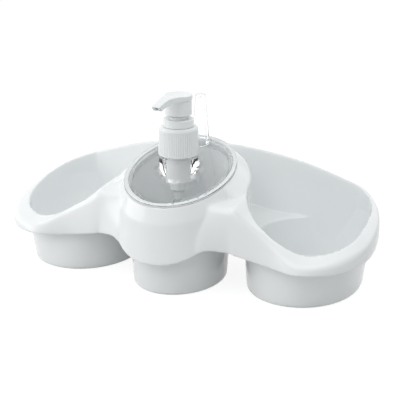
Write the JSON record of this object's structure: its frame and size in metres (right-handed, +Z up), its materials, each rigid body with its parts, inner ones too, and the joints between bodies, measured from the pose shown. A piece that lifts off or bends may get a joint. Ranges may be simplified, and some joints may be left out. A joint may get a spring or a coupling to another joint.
{
  "type": "soap pump caddy",
  "caption": "Vanity caddy: a white tray with two bowls on cups, a tub for liquid soap in the middle, a clear lid with a ring cone, and a ribbed pump with a flat spout.",
  "frame": {"origin": "bottom centre of the bounding box of the whole caddy, on the surface it stands on", "axes": "+X to the right along the tray, +Y from the low front lip to the back wall, +Z up along the pump"},
  "size_m": [0.3064, 0.1394, 0.1518],
  "materials": {
    "white_gloss": "glossy cool white moulded plastic",
    "white_tub": "glossy white moulded plastic",
    "clear": "clear glossy plastic",
    "pump_white": "satin to glossy white plastic",
    "pump_inner": "milky plastic",
    "tube_clear": "translucent plastic",
    "seal_rubber": "soft pale rubber",
    "steel": "bright stainless wire and ball"
  },
  "bodies": {
    "tray": {"caddy_tray": "white_gloss"},
    "tub": {"soap_tub": "white_tub"},
    "lid": {"clear_lid": "clear", "lid_seal": "seal_rubber", "ring_cone": "clear", "neck_gasket": "seal_rubber"},
    "pump": {"pump_barrel": "pump_inner", "lock_collar": "pump_white", "dip_tube": "tube_clear", "ball_cage": "pump_inner"},
    "closure": {"ribbed_closure": "pump_white"},
    "piston": {"pump_piston": "pump_inner", "return_spring": "steel"},
    "head": {"pump_head": "pump_white", "pump_stem": "pump_inner"},
    "ball": {"ball_valve": "steel"}
  },
  "joints": [
    {"name": "tub_lift", "type": "slide", "parent": "tray", "child": "tub", "axis": [0, 0, 1], "range_m": [0, 0.11]},
    {"name": "lid_lift", "type": "slide", "parent": "tub", "child": "lid", "axis": [0, 0, 1], "range_m": [0, 0.1]},
    {"name": "pump_lift", "type": "slide", "parent": "lid", "child": "pump", "axis": [0, 0, 1], "range_m": [0, 0.12]},
    {"name": "closure_turn", "type": "hinge", "parent": "pump", "child": "closure", "pos_m": [0, -0.0155, 0.115], "axis": [0, 0, 1], "range_deg": [0, 540]},
    {"name": "pump_stroke", "type": "slide", "parent": "pump", "child": "piston", "axis": [0, 0, 1], "range_m": [0, 0.014], "deforming": ["return_spring"]},
    {"name": "head_swivel", "type": "hinge", "parent": "piston", "child": "head", "pos_m": [0, -0.0155, 0.14], "axis": [0, 0, 1], "continuous": true},
    {"name": "ball_lift", "type": "slide", "parent": "pump", "child": "ball", "axis": [0, 0, 1], "range_m": [0, 0.0008]}
  ]
}
